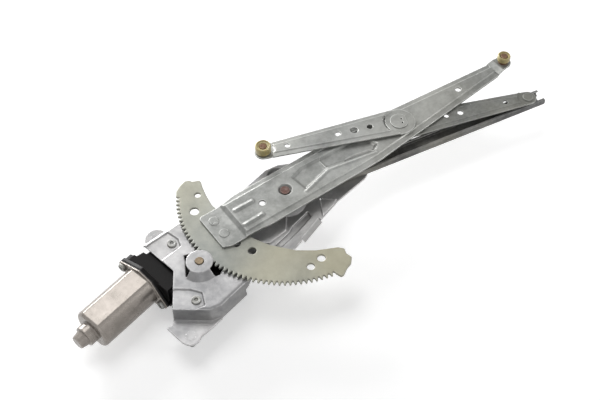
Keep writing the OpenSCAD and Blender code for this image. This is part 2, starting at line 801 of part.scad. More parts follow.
module pinion()
    color([0.78, 0.66, 0.42]) in_gear_frame() {
        rod([0, 0], shaft_d / 2, box_floor - 1, hood_z + plate_t + 1);
        rod([0, 0], 6, box_top + end_gap, sector_z - 0.5);
        slab(sector_z - 0.8, pad_z + 0.6) rotate(pinion_dir + 180) pinion_outline();
    }

module pinion_outline() {
    radii = flank_radii(pinion_r - gear_module * (1.25 - pinion_shift), pinion_tip_r, 8);
    polygon(flat_list([for (i = [0:pinion_teeth - 1]) let(a = 360 * i / pinion_teeth)
        concat(rise(a, pinion_teeth, gear_module, pinion_shift, gear_backlash / 2, radii),
               fall(a, pinion_teeth, gear_module, pinion_shift, gear_backlash / 2, radii))]));
}

// Sector gear and lift arm, drawn with X along the lift arm

// Inner side of the sector from its left horn round to its right one, as radius and direction
inner_side = [[105.2, 270.7], [100.2, 273.4], [93.7, 272.6], [88.4, 274.1], [83.2, 271.4],
              [75.5, 257.1], [70.1, 243], [64.3, 220.9], [62.5, 205], [62, 190], [63.5, 172],
              [73.1, 155.6], [78.2, 145.4], [82.8, 138], [85.5, 133.8], [88.3, 133], [94.2, 134.6],
              [98, 134], [102.2, 135.1], [105.5, 138.5]];
sector_holes = [[86.6, 145.2, 3], [91.3, 157.9, 4.5], [85.8, 257.9, 4], [91.5, 249.7, 3.75],
                [76.4, 196.8, 4], [76, 210.1, 4]];
sector_rivet_places = [[77.6, 171.8], [77.1, 185.1]];
stop_r = 112.5;

module sector_outline() {
    radii = flank_radii(sector_root_r, sector_tip_r, 4);
    slack = gear_backlash / 2;
    first = mesh_dir - tooth_pitch * (teeth_before + 0.5);
    last = mesh_dir + tooth_pitch * (teeth_after - 0.5);
    difference() {
        polygon(concat(
            [polar(sector_tip_r, first - 3.3)],
            fall(first, sector_circle_teeth, gear_module, -pinion_shift, slack, radii),
            flat_list([for (i = [-teeth_before:teeth_after - 2]) let(a = mesh_dir + tooth_pitch * (i + 0.5))
                concat(rise(a, sector_circle_teeth, gear_module, -pinion_shift, slack, radii),
                       fall(a, sector_circle_teeth, gear_module, -pinion_shift, slack, radii))]),
            rise(last, sector_circle_teeth, gear_module, -pinion_shift, slack, radii),
            [polar(stop_r, last + 0.9), polar(stop_r, last + 2.4), polar(107.5, last + 6)],
            [for (p = inner_side) polar(p[0], p[1])]));
        for (h = sector_holes) translate(polar(h[0], h[1])) circle(h[2]);
        for (p = sector_rivet_places) translate(polar(p[0], p[1])) circle(rivet_r);
    }
}

module sector_gear()
    color([0.72, 0.7, 0.6]) in_lift_frame() slab(sector_z, pad_z) sector_outline();

pad_end = -87;
pad_step_x = -63;
taper_x = 100;
arm_tip_r = 8.5;
tip_step_x = 2 * half_arm - 14;
edge_band = 6.5;
// Pressed recess between the main pivot and the cross pivot, in three parts
recess_near = [[16, -13], [50, -4], [52, 13], [28, 14], [13, 9]];
recess_far = [[48, -3.6], [103, -14.5], [112, -8], [104, 12], [73, 13], [46, 13]];
recess_deep = [[68, -8], [101, -14.3], [103.5, -9], [99, -5.5], [81, -1.5], [68, -1.5]];

module lift_outline() {
    tip = 2 * half_arm;
    lean = acos((arm_half_w - arm_tip_r) / (tip - taper_x));
    polygon(concat(
        [[pad_end, -20], [pad_end + 9, -23.5], [-60, -23.5], [-44, -24], [-36, -arm_half_w]],
        arc([taper_x, 0], arm_half_w, -90, -lean, 2), arc([tip, 0], arm_tip_r, -lean, lean, 20),
        arc([taper_x, 0], arm_half_w, lean, 90, 2), [[-44, arm_half_w], [-60, 23]],
        arc([pad_end + 3, 20], 3, 90, 180, 4)));
}

module lift_press() {
    tip = 2 * half_arm;
    lean = acos((arm_half_w - arm_tip_r) / (tip - taper_x));
    along = [sin(lean), cos(lean)];
    level_cut(pad_end - 20, pad_step_x, pad_z + arm_t, 8, arm_tip_top - pad_z - arm_t);
    level_cut(pad_step_x - 1, tip_step_x, arm_floor_top, 6, arm_t);
    band_cut([pad_step_x, -arm_half_w], [taper_x + 12, -arm_half_w], edge_band, crown, arm_floor_top);
    band_cut([taper_x + 12, arm_half_w], [pad_step_x, arm_half_w], edge_band, crown, arm_floor_top);
    band_cut([taper_x, 0] + polar(arm_half_w, -lean) - 9 * along,
             [tip, 0] + polar(arm_tip_r, -lean) - 15 * along, edge_band, crown, arm_floor_top);
    band_cut([tip, 0] + polar(arm_tip_r, lean) - 15 * [along[0], -along[1]],
             [taper_x, 0] + polar(arm_half_w, lean) - 9 * [along[0], -along[1]],
             edge_band, crown, arm_floor_top);
    cone([0, 0], dimple_r, dimple_r + 1.8, arm_floor_top - dimple, arm_floor_top + 0.3);
    recess(recess_near, 3, 2, arm_floor_top);
    recess(recess_far, 3, 2, arm_floor_top);
    recess(recess_deep, 4, 3.2, arm_floor_top);
}

module arm_beads(drop) {
    bead([-54, 7.5], [-34.5, 7], 2.6, arm_floor_top - drop, 1.6);
    bead([-55.5, -12.5], [-35.5, -12.2], 2.6, arm_floor_top - drop, 1.6);
}

module lift_arm()
    color("silver") in_lift_frame() difference() {
        union() {
            pressed(arm_t, arm_tip_top) {
                lift_outline();
                lift_press();
            }
            arm_beads(0);
        }
        arm_beads(arm_t);
        rod([0, 0], post_d / 2 + pin_gap, 0, reach);
        rod([half_arm, 0], 7 + pin_gap, 0, reach);
        rod([2 * half_arm, 0], stud_d / 2, 0, reach);
        rod([-27.5, -0.4], 3.25, 0, reach);
        rod([226, 0], 3, 0, reach);
        for (p = sector_rivet_places) rod(polar(p[0], p[1]), rivet_r, 0, reach);
    }

module sector_rivets()
    color("gray") in_lift_frame() for (p = sector_rivet_places) {
        rod(polar(p[0], p[1]), rivet_r, sector_z, pad_z + arm_t);
        cone(polar(p[0], p[1]), 5.5, 4.6, pad_z + arm_t, pad_z + arm_t + 0.9);
    }

// Stud through a sheet from z0 to z1 that carries a roller from low to high, with its head sunk in it
module glass_stud(z0, z1, low, high) {
    rod([0, 0], 5.5, z0 - 1.3, z0);
    rod([0, 0], stud_d / 2, z0 - 1, high - 1);
    rod([0, 0], 5.5, z1, low - end_gap);
    cone([0, 0], stud_d / 2 + 0.7, stud_d / 2 + 0.3, high - head_sink + end_gap, high - 1);
}

module glass_roller(d, low, high)
    difference() {
        union() {
            rod([0, 0], d / 2, low + 1, high - 1);
            cone([0, 0], d / 2 - 1, d / 2, low, low + 1);
            cone([0, 0], d / 2, d / 2 - 1, high - 1, high);
        }
        rod([0, 0], stud_d / 2 + pin_gap, 0, reach);
        rod([0, 0], stud_d / 2 + 1.1, high - head_sink, reach);
    }

module lift_stud()
    color("darkgray") in_lift_frame() translate([2 * half_arm, 0, 0])
        glass_stud(arm_tip_top - arm_t, arm_tip_top, lift_roller_z, lift_roller_z + lift_roller_h);

module lift_roller()
    color([0.8, 0.72, 0.5]) in_lift_frame() translate([2 * half_arm, 0, 0])
        glass_roller(lift_roller_d, lift_roller_z, lift_roller_z + lift_roller_h);

// Balance arm, drawn with X from the cross pivot to the rail

balance_tip_r = 9;
front_holes = [[-120, 2.5], [-66, 3], [-49, 4], [-32, 3]];
rear_holes = [[53, 2.5], [68.5, 3], [119.5, 2.5]];
spigot_r = 5;
shoulder_r = 7;

module balance_outline() round_bar(balance_half_w, balance_tip_r, half_arm);

module balance_bands(inset, drop, top) {
    lean = acos((balance_half_w - balance_tip_r) / half_arm);
    low = [sin(lean), cos(lean)];
    high = [sin(lean), -cos(lean)];
    band_cut(polar(balance_half_w, -lean) - 6 * low, [half_arm, 0] + polar(balance_tip_r, -lean)
             - 8 * low, inset, drop, top);
    band_cut([half_arm, 0] + polar(balance_tip_r, lean) - 8 * high,
             polar(balance_half_w, lean) - 6 * high, inset, drop, top);
}

module front_press() {
    pad_top = front_pad_z + balance_t;
    end_top = front_edge_z + balance_t;
    top = end_top + front_crown;
    cone([0, 0], 14.5, 18.5, pad_top, top + 0.5);
    slab(pad_top, top + 2) polygon([[4, -30], [-30, -30], [-30, 30], [4, 30]]);
    cone([half_arm, 0], balance_tip_r + 1.5, balance_tip_r + 4, end_top, top + 0.5);
    balance_bands(5, front_crown, top);
}

module front_arm()
    color("silver") in_balance_frame() difference() {
        rotate([0, 0, 180]) pressed(balance_t, front_edge_z + balance_t + front_crown) {
            balance_outline();
            front_press();
        }
        rod([0, 0], spigot_r, 0, reach);
        rod([-half_arm, 0], stud_d / 2, 0, reach);
        for (h = front_holes) rod([h[0], 0], h[1], 0, reach);
    }

module rear_press() {
    cone([half_arm, 0], balance_tip_r + 1.5, balance_tip_r + 3.5, rear_edge_z + balance_t, rear_top + 0.5);
    balance_bands(5, rear_crown, rear_top);
}

module rear_arm()
    color("silver") in_balance_frame() difference() {
        pressed(balance_t, rear_top) {
            balance_outline();
            rear_press();
        }
        rod([0, 0], spigot_r, 0, reach);
        rod([half_arm, 0], rail_pin_d / 2, 0, reach);
        for (h = rear_holes) rod([h[0], 0], h[1], 0, reach);
    }

module cross_pivot()
    color("darkgray") in_balance_frame() {
        rod([0, 0], 8, rear_top - balance_t - 1.5, rear_top - balance_t);
        rod([0, 0], spigot_r, rear_top - balance_t - 1, front_pad_z + balance_t + 1);
        rod([0, 0], shoulder_r, rear_top, front_pad_z);
        difference() {
            rod([0, 0], 9.5, front_pad_z + balance_t, front_pad_z + balance_t + 1.2);
            block(7.6, 20, -20, 20, front_pad_z + balance_t - 1, reach);
            for (s = [-1, 1]) rod([3, 2.5 * s], 0.75, front_pad_z + balance_t + 0.6, reach);
        }
    }

module cross_washers()
    color("gray") in_balance_frame() difference() {
        union() {
            rod([0, 0], 11, rear_top, arm_floor_top - arm_t - end_gap);
            rod([0, 0], 13, arm_floor_top + end_gap, front_pad_z);
        }
        rod([0, 0], shoulder_r, 0, reach);
    }

module front_stud()
    color("darkgray") in_balance_frame() translate([-half_arm, 0, 0])
        glass_stud(front_edge_z, front_edge_z + balance_t, roller_z, roller_z + roller_h);

module front_roller()
    color([0.8, 0.72, 0.5]) in_balance_frame() translate([-half_arm, 0, 0])
        glass_roller(roller_d, roller_z, roller_z + roller_h);

module rail_stud()
    color("darkgray") in_balance_frame() translate([half_arm, 0, 0]) {
        rod([0, 0], 4.2, rail_roller_z + eps, rail_roller_z + 0.9);
        rod([0, 0], rail_pin_d / 2, rail_roller_z + eps, rear_edge_z + balance_t + 0.5);
        cone([0, 0], 6, 5.2, rear_edge_z + balance_t, rear_edge_z + balance_t + 1.5);
        rod([0, 0], 4.6, rail_roller_top + end_gap, rear_edge_z);
    }

module rail_roller()
    color([0.85, 0.84, 0.8]) in_balance_frame() translate([half_arm, 0, 0]) difference() {
        union() {
            rod([0, 0], rail_roller_d / 2, rail_roller_z + 0.5, rail_roller_top - 0.5);
            cone([0, 0], rail_roller_d / 2 - 0.5, rail_roller_d / 2, rail_roller_z, rail_roller_z + 0.5);
            cone([0, 0], rail_roller_d / 2, rail_roller_d / 2 - 0.5, rail_roller_top - 0.5, rail_roller_top);
        }
        rod([0, 0], rail_pin_d / 2 + pin_gap, 0, reach);
        rod([0, 0], 4.6, 0, rail_roller_z + 1);
    }

base_plate();
panel_studs();
pivot_post();
pivot_washer();
guide_rail();
rail_rivets();
gearbox_housing();
gearbox_cover();
cover_screws();
gearbox_screws();
motor_can();
motor_gasket();
motor_screws();
magnets();
rear_bearing();
front_bearing();
brush_holder();
brushes();
connector_pins();
armature_shaft();
armature_core();
armature_windings();
commutator();
worm_wheel();
pinion();
sector_gear();
lift_arm();
sector_rivets();
lift_stud();
lift_roller();
front_arm();
rear_arm();
cross_pivot();
cross_washers();
front_stud();
front_roller();
rail_stud();
rail_roller();
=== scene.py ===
"""A cross-arm window regulator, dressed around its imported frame.

The frame holds the exact solids. Each piece in view is shown by a copy of its solid with rounded bends
and edges, and a few of the copies get a groove, a bore, a slot or a recess that the solid lacks. Every
surface has its own finish. Places are in the frame's axes, in metres in the scene and in millimetres
in the named sizes of the pieces.
"""

import json
import logging
import math
from collections.abc import Callable, Sequence
from dataclasses import dataclass, field
from enum import Enum

import bmesh
import bpy
from mathutils import Matrix, Vector

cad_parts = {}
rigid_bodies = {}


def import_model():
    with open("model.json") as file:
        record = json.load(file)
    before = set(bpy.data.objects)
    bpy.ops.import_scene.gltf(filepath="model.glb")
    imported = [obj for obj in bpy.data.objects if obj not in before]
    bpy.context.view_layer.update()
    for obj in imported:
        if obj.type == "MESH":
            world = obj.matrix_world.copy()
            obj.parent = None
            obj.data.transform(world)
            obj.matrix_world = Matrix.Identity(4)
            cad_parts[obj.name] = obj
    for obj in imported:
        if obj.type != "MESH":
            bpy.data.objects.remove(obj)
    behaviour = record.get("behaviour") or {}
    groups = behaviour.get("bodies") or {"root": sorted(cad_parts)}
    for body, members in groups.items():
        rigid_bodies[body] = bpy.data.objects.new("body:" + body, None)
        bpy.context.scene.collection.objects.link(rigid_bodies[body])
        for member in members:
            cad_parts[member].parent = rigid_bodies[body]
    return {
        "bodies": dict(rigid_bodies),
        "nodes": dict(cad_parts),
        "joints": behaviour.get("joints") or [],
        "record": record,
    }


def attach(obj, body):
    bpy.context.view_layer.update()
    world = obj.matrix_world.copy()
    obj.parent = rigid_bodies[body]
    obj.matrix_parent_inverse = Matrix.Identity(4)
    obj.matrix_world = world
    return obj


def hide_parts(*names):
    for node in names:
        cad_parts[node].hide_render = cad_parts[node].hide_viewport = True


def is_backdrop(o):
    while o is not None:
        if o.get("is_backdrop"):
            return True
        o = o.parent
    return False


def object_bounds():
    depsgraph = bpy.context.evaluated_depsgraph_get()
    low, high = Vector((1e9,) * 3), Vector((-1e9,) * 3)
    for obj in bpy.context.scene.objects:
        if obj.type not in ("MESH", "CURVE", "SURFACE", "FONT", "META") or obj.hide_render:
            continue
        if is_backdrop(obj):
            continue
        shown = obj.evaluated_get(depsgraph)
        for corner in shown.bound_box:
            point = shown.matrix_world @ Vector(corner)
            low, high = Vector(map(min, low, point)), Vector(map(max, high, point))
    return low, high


LOG = logging.getLogger("regulator")
MM = 0.001
# Vertices closer than this are one, in metres
WELD = 1e-6
# Edges of a new mesh that turn by more than this stay sharp
SHARP_DEG = 40.0
RING_STEPS = 48
DRILL_SIDES = 24
# How far a vertex goes towards the middle of its neighbours in one pass
SMOOTHING = 0.5
# How many passes a piece gets. The more, the rounder its edges
CRISP, EVEN, ROUND = 1, 2, 3
MOST_TRIANGLES = 185_000
# A normal that rises by less than this belongs to a side wall
SIDE_LEAN = 0.2
# How far under its sheet a vertex may lie, in millimetres, and still rise with a bead
SHEET_SLACK = 0.5
Colour = tuple[float, float, float]
Profile = Sequence[tuple[float, float]]


# Meshes


def link_mesh(name: str, bm: bmesh.types.BMesh) -> bpy.types.Object:
    """Turn a finished bmesh into a linked object at the origin.

    Args:
        name: The piece's name.
        bm: The mesh, in metres and in place. It is freed.

    Returns:
        The new object.
    """
    mesh = bpy.data.meshes.new(name)
    bm.to_mesh(mesh)
    bm.free()
    mesh.shade_smooth()
    mesh.set_sharp_from_angle(angle=math.radians(SHARP_DEG))
    obj = bpy.data.objects.new(name, mesh)
    bpy.context.scene.collection.objects.link(obj)
    return obj


def bake(obj: bpy.types.Object) -> None:
    """Put an object's modifiers into its mesh."""
    depsgraph = bpy.context.evaluated_depsgraph_get()
    baked = bpy.data.meshes.new_from_object(obj.evaluated_get(depsgraph))
    obj.modifiers.clear()
    obj.data = baked


def prism(outline: Profile, low_mm: float, high_mm: float) -> bmesh.types.BMesh:
    """Extrude an outline, in millimetres of the frame's plane, between two heights."""
    bm = bmesh.new()
    face = bm.faces.new([bm.verts.new((x * MM, y * MM, low_mm * MM)) for x, y in outline])
    grown = bmesh.ops.extrude_face_region(bm, geom=[face])
    top = [item for item in grown["geom"] if isinstance(item, bmesh.types.BMVert)]
    bmesh.ops.translate(bm, verts=top, vec=(0, 0, (high_mm - low_mm) * MM))
    bmesh.ops.recalc_face_normals(bm, faces=bm.faces)
    return bm


def soft_copy(source: bpy.types.Object, name: str, grid_mm: float, passes: int,
              cutters: Sequence[bmesh.types.BMesh] = ()) -> bpy.types.Object:
    """Copy a solid of the frame with its bends and cut edges rounded.

    Args:
        source: The frame's node.
        name: The piece's name.
        grid_mm: The size of the faces that the copy is made of, in millimetres.
        passes: How often the faces are smoothed. Each pass widens the rounding.
        cutters: Solids that are taken away first. They are freed.

    Returns:
        The new object.
    """
    merged = bmesh.new()
    merged.from_mesh(source.data)
    bmesh.ops.remove_doubles(merged, verts=merged.verts, dist=WELD)
    copy = link_mesh(name, merged)
    for number, cutter in enumerate(cutters):
        taken = link_mesh(f"{name}_cutter_{number}", cutter)
        cut = copy.modifiers.new("cut", "BOOLEAN")
        cut.operation = "DIFFERENCE"
        cut.object = taken
        bake(copy)
        bpy.data.objects.remove(taken)
    remesh = copy.modifiers.new("even_faces", "REMESH")
    remesh.mode = "VOXEL"
    remesh.voxel_size = grid_mm * MM
    bake(copy)
    smoothed = bmesh.new()
    smoothed.from_mesh(copy.data)
    for _ in range(passes):
        bmesh.ops.smooth_vert(smoothed, verts=smoothed.verts, factor=SMOOTHING, use_axis_x=True,
                              use_axis_y=True, use_axis_z=True)
    smoothed.to_mesh(copy.data)
    smoothed.free()
    triangles = 2 * len(copy.data.polygons)
    if triangles > MOST_TRIANGLES:
        thin = copy.modifiers.new("fewer_faces", "DECIMATE")
        thin.ratio = MOST_TRIANGLES / triangles
        bake(copy)
    copy.data.shade_smooth()
    return copy


def ring(centre: tuple[float, float], profile: Profile) -> bmesh.types.BMesh:
    """Spin a closed profile round an upright axis.

    Args:
        centre: Where the axis stands in the frame's plane, in millimetres.
        profile: Radius and height of each corner in millimetres, in order round the section.

    Returns:
        The solid, in metres and in place.
    """
    bm = bmesh.new()
    corners = [bm.verts.new((r * MM, 0, z * MM)) for r, z in profile]
    edges = [bm.edges.new((a, b)) for a, b in zip(corners, corners[1:] + corners[:1])]
    bmesh.ops.spin(bm, geom=corners + edges, axis=(0, 0, 1), cent=(0, 0, 0), angle=math.tau,
                   steps=RING_STEPS, use_merge=True, use_normal_flip=False, use_duplicate=False)
    bmesh.ops.remove_doubles(bm, verts=bm.verts, dist=WELD)
    bmesh.ops.recalc_face_normals(bm, faces=bm.faces)
    bmesh.ops.translate(bm, verts=bm.verts, vec=(centre[0] * MM, centre[1] * MM, 0))
    return bm


def groove(centre: tuple[float, float], inner: float, outer: float, low: float,
           high: float) -> bmesh.types.BMesh:
    """Return a flat ring between two radii and two heights, in millimetres."""
    return ring(centre, ((inner, low), (outer, low), (outer, high), (inner, high)))


def drill(x: float, y: float, radius: float, low: float, high: float) -> bmesh.types.BMesh:
    """Return an upright round prism, in millimetres."""
    last = 360.0 - 360.0 / DRILL_SIDES
    return prism(arc_profile((x, y), radius, 0.0, last, DRILL_SIDES - 1), low, high)


def recess_fall(outline: Profile, run: float, depth: float, along: float, across: float) -> float:
    """Return how far a recess with sloping sides lies below its sheet at one place.

    Args:
        outline: The recess's convex outline, anticlockwise, in millimetres.
        run: How wide the slopes are.
        depth: How deep the recess is.
        along: The place's first coordinate.
        across: Its second.
    """
    inside = run
    for (x0, y0), (x1, y1) in zip(outline, [*outline[1:], outline[0]]):
        turn = (x1 - x0) * (across - y0) - (y1 - y0) * (along - x0)
        inside = min(inside, turn / math.hypot(x1 - x0, y1 - y0))
    # The slope starts and ends level
    eased = max(inside, 0.0) / run
    return depth * eased * eased * (3.0 - 2.0 * eased)


def bead_rise(line: Profile, half_width: float, height: float, along: float, across: float) -> float:
    """Return how far a rounded bead along a line stands above its sheet at one place.

    Args:
        line: The points that the bead runs through, in millimetres.
        half_width: Half the bead's width.
        height: The bead's height.
        along: The place's first coordinate.
        across: Its second.
    """
    nearest = half_width
    for (x0, y0), (x1, y1) in zip(line, line[1:]):
        dx, dy = x1 - x0, y1 - y0
        share = ((along - x0) * dx + (across - y0) * dy) / (dx * dx + dy * dy)
        share = min(max(share, 0.0), 1.0)
        nearest = min(nearest, math.hypot(along - x0 - share * dx, across - y0 - share * dy))
    return height * (1.0 + math.cos(math.pi * nearest / half_width)) / 2.0


def press_sheet(piece: bpy.types.Object, turn_deg: float, sheet: tuple[float, float],
                fall_at: Callable[[float, float], float]) -> None:
    """Press both faces of a level sheet up or down.

    Args:
        piece: The sheet, which is changed.
        turn_deg: How far the pressing is turned about the frame's origin.
        sheet: The heights of the sheet's two faces before, in millimetres.
        fall_at: Gives how far the sheet goes down at a place of the pressing, in millimetres.
    """
    cos, sin = math.cos(math.radians(turn_deg)), math.sin(math.radians(turn_deg))
    low, high = sheet
    leans = [vertex.normal.z for vertex in piece.data.vertices]
    for vertex, lean in zip(piece.data.vertices, leans):
        x, y, z = (value / MM for value in vertex.co)
        fall = fall_at(x * cos + y * sin, y * cos - x * sin)
        upper = lean > SIDE_LEAN or (lean > -SIDE_LEAN and z > (low + high) / 2)
        if fall > 0.0:
            vertex.co.z = min(z, (high if upper else low) - fall) * MM
        elif z > low - SHEET_SLACK:
            vertex.co.z = (z - fall) * MM


def arc_profile(centre: tuple[float, float], radius: float, start: float, end: float,
                steps: int) -> list[tuple[float, float]]:
    """Return the points of an arc in a profile, with its angles in degrees."""
    angles = [math.radians(start + (end - start) * i / steps) for i in range(steps + 1)]
    return [(centre[0] + radius * math.cos(a), centre[1] + radius * math.sin(a)) for a in angles]


# Materials


# Sockets of the node that mixes two colours
MIX_FACTOR, MIX_LOW, MIX_HIGH, MIX_RESULT = 0, 6, 7, 2
WHITE = (1.0, 1.0, 1.0, 1.0)
# The range of its noise, or of Pointiness, that each effect spreads from none to full
CLOUD_RANGE = (0.34, 0.68)
SPECK_RANGE = (0.36, 0.66)
STAIN_RANGE = (0.42, 0.62)
SCUFF_RANGE = (0.5, 0.7)
EDGE_RANGE = (0.506, 0.56)
BROKEN_RANGE = (0.22, 0.5)
CREASE_RANGE = (0.492, 0.44)
FLOW_RANGE = (0.35, 0.65)
# How far the specks shift the clouds, and the specks' and stains' scales as shares of the clouds'
SPECK_SHIFT = 0.22
SPECK_SCALE = 7.0
STAIN_SCALE = 0.45
# The colour that creases in zinc are darkened towards: grime and a painted shade
ZINC_GRIME_AND_SHADE = (0.05, 0.048, 0.045)
# The depth of a bump in metres
METAL_BUMP = 0.0002
MOULDED_BUMP = 0.0003


def rgba(colour: Colour) -> tuple[float, float, float, float]:
    """Return a colour as Blender's sockets want it."""
    return (*colour, 1.0)


def scaled(colour: Colour, gain: float, lift: float = 0.0) -> tuple[float, float, float, float]:
    """Return a colour made lighter or darker, held at white, as Blender's sockets want it."""
    return rgba(tuple(min(1.0, lift + gain * value) for value in colour))


@dataclass
class Graph:
    """Adds nodes to one node tree and wires them."""

    tree: bpy.types.NodeTree

    def add(self, kind: str, settings: dict | None = None, **inputs: object) -> bpy.types.Node:
        """Add a node.

        Args:
            kind: The node's type.
            settings: Properties of the node itself.
            **inputs: A value or an output socket for each named input. Underscores stand for spaces.

        Returns:
            The new node.
        """
        node = self.tree.nodes.new(kind)
        for key, value in (settings or {}).items():
            setattr(node, key, value)
        for key, value in inputs.items():
            socket = node.inputs[key.replace("_", " ")]
            if isinstance(value, bpy.types.NodeSocket):
                self.tree.links.new(value, socket)
            else:
                socket.default_value = value
        return node

    def mix(self, factor: object, low: object, high: object) -> bpy.types.NodeSocket:
        """Mix two colours and return the result's socket."""
        node = self.tree.nodes.new("ShaderNodeMix")
        node.data_type = "RGBA"
        for index, value in ((MIX_FACTOR, factor), (MIX_LOW, low), (MIX_HIGH, high)):
            if isinstance(value, bpy.types.NodeSocket):
                self.tree.links.new(value, node.inputs[index])
            else:
                node.inputs[index].default_value = value if index == MIX_FACTOR else rgba(value)
        return node.outputs[MIX_RESULT]

    def maths(self, operation: str, first: object, second: object,
              clamp: bool = False) -> bpy.types.NodeSocket:
        """Combine two values and return the result's socket."""
        node = self.tree.nodes.new("ShaderNodeMath")
        node.operation = operation
        node.use_clamp = clamp
        for index, value in enumerate((first, second)):
            if isinstance(value, bpy.types.NodeSocket):
                self.tree.links.new(value, node.inputs[index])
            else:
                node.inputs[index].default_value = value
        return node.outputs[0]

    def span(self, value: bpy.types.NodeSocket, low: float, high: float, to_low: float = 0.0,
             to_high: float = 1.0) -> bpy.types.NodeSocket:
        """Map a value from one range to another, held at both ends, and return its socket."""
        node = self.add("ShaderNodeMapRange", Value=value, From_Min=low, From_Max=high,
                        To_Min=to_low, To_Max=to_high)
        return node.outputs["Result"]


def new_group(name: str, inputs: dict[str, object],
              outputs: dict[str, str]) -> tuple[Graph, bpy.types.Node, bpy.types.Node]:
    """Start a shader node group.

    Args:
        name: The group's name.
        inputs: Each input's name and its default. A number makes a value and a tuple a colour.
        outputs: Each output's name and its socket type.

    Returns:
        The group's graph, its input node and its output node.
    """
    tree = bpy.data.node_groups.new(name, "ShaderNodeTree")
    for key, default in inputs.items():
        kind = "NodeSocketColor" if isinstance(default, tuple) else "NodeSocketFloat"
        socket = tree.interface.new_socket(key, in_out="INPUT", socket_type=kind)
        socket.default_value = rgba(default) if isinstance(default, tuple) else default
    for key, kind in outputs.items():
        tree.interface.new_socket(key, in_out="OUTPUT", socket_type=kind)
    graph = Graph(tree)
    return graph, graph.add("NodeGroupInput"), graph.add("NodeGroupOutput")


def clear_graph(owner: bpy.types.Material | bpy.types.World) -> Graph:
    """Switch on the nodes of a material or a world, empty them and return their graph."""
    owner.use_nodes = True
    owner.node_tree.nodes.clear()
    return Graph(owner.node_tree)


class Effect(Enum):
    """The surface effects that several finishes share."""

    PATCHES = "patchy_plating"
    GRAIN = "rolled_grain"
    # Rubbed edges with a painted highlight, and grime with a painted shade in the creases
    WEAR_AND_PAINTED_LIGHT = "wear_grime_and_painted_light"
    POCKS = "moulded_texture"


def build_patches() -> bpy.types.NodeTree:
    """Build the group that clouds a plated surface between two tones."""
    g, given, put = new_group(
        Effect.PATCHES.value,
        {"Light": (0.6, 0.6, 0.6), "Dark": (0.4, 0.4, 0.4), "Tint": (0.5, 0.5, 0.4), "Scale": 30.0,
         "Tint Amount": 0.3},
        {"Colour": "NodeSocketColor", "Mask": "NodeSocketFloat"})
    where = g.add("ShaderNodeTexCoord").outputs["Object"]
    broad = g.add("ShaderNodeTexNoise", Vector=where, Scale=given.outputs["Scale"], Detail=5.0,
                  Roughness=0.62, Distortion=0.6)
    finer_scale = g.maths("MULTIPLY", given.outputs["Scale"], SPECK_SCALE)
    finer = g.add("ShaderNodeTexNoise", Vector=where, Scale=finer_scale, Detail=4.0,
                  Roughness=0.7)
    tint_scale = g.maths("MULTIPLY", given.outputs["Scale"], STAIN_SCALE)
    tinted = g.add("ShaderNodeTexNoise", Vector=where, Scale=tint_scale, Detail=2.0)
    cloud = g.span(broad.outputs["Fac"], *CLOUD_RANGE)
    speck = g.span(finer.outputs["Fac"], *SPECK_RANGE, -SPECK_SHIFT, SPECK_SHIFT)
    mask = g.maths("ADD", cloud, speck, clamp=True)
    toned = g.mix(mask, given.outputs["Dark"], given.outputs["Light"])
    stain = g.maths("MULTIPLY", g.span(tinted.outputs["Fac"], *STAIN_RANGE),
                    given.outputs["Tint Amount"])
    g.tree.links.new(g.mix(stain, toned, given.outputs["Tint"]), put.inputs["Colour"])
    g.tree.links.new(mask, put.inputs["Mask"])
    return g.tree


def build_grain() -> bpy.types.NodeTree:
    """Build the group that draws the fine lines and dull scuffs of rolled sheet."""
    g, given, put = new_group(
        Effect.GRAIN.value, {"Turn": 0.0, "Length": 40.0, "Width": 1400.0},
        {"Height": "NodeSocketFloat", "Scuffs": "NodeSocketFloat"})
    where = g.add("ShaderNodeTexCoord").outputs["Object"]
    turned_by = g.add("ShaderNodeVectorRotate", {"rotation_type": "Z_AXIS"}, Vector=where,
                      Angle=given.outputs["Turn"])
    stretch = g.add("ShaderNodeCombineXYZ", X=given.outputs["Length"],
                    Y=given.outputs["Width"], Z=given.outputs["Width"])
    drawn = g.add("ShaderNodeVectorMath", {"operation": "MULTIPLY"})
    g.tree.links.new(turned_by.outputs[0], drawn.inputs[0])
    g.tree.links.new(stretch.outputs[0], drawn.inputs[1])
    lines = g.add("ShaderNodeTexNoise", Vector=drawn.outputs[0], Scale=1.0, Detail=3.0)
    scuff = g.add("ShaderNodeTexNoise", Vector=where, Scale=160.0, Detail=6.0, Roughness=0.75,
                  Distortion=1.4)
    g.tree.links.new(lines.outputs["Fac"], put.inputs["Height"])
    g.tree.links.new(g.span(scuff.outputs["Fac"], *SCUFF_RANGE), put.inputs["Scuffs"])
    return g.tree


def build_wear_and_painted_light() -> bpy.types.NodeTree:
    """Build the group that brightens the raised edges and bends, as rubbed wear and a painted
    highlight, and darkens the creases, as grime and a painted shade.
    """
    g, given, put = new_group(
        Effect.WEAR_AND_PAINTED_LIGHT.value,
        {"Colour": (0.5, 0.5, 0.5), "Rubbed": (0.7, 0.7, 0.7), "Grime": (0.1, 0.1, 0.1),
         "Rub": 0.5, "Dirt": 0.5},
        {"Colour": "NodeSocketColor"})
    point = g.add("ShaderNodeNewGeometry").outputs["Pointiness"]
    where = g.add("ShaderNodeTexCoord").outputs["Object"]
    broken = g.add("ShaderNodeTexNoise", Vector=where, Scale=240.0, Detail=3.0).outputs["Fac"]
    # Convex edges and bends are brightened: rubbed wear and a painted highlight
    edge = g.maths("MULTIPLY", g.span(point, *EDGE_RANGE), g.span(broken, *BROKEN_RANGE))
    # Concave creases are darkened: grime and a painted shade
    crease = g.span(point, *CREASE_RANGE)
    rubbed_and_sheened = g.mix(g.maths("MULTIPLY", edge, given.outputs["Rub"]), given.outputs["Colour"],
                   given.outputs["Rubbed"])
    grimy_and_shaded = g.mix(g.maths("MULTIPLY", crease, given.outputs["Dirt"]), rubbed_and_sheened, given.outputs["Grime"])
    g.tree.links.new(grimy_and_shaded, put.inputs["Colour"])
    return g.tree


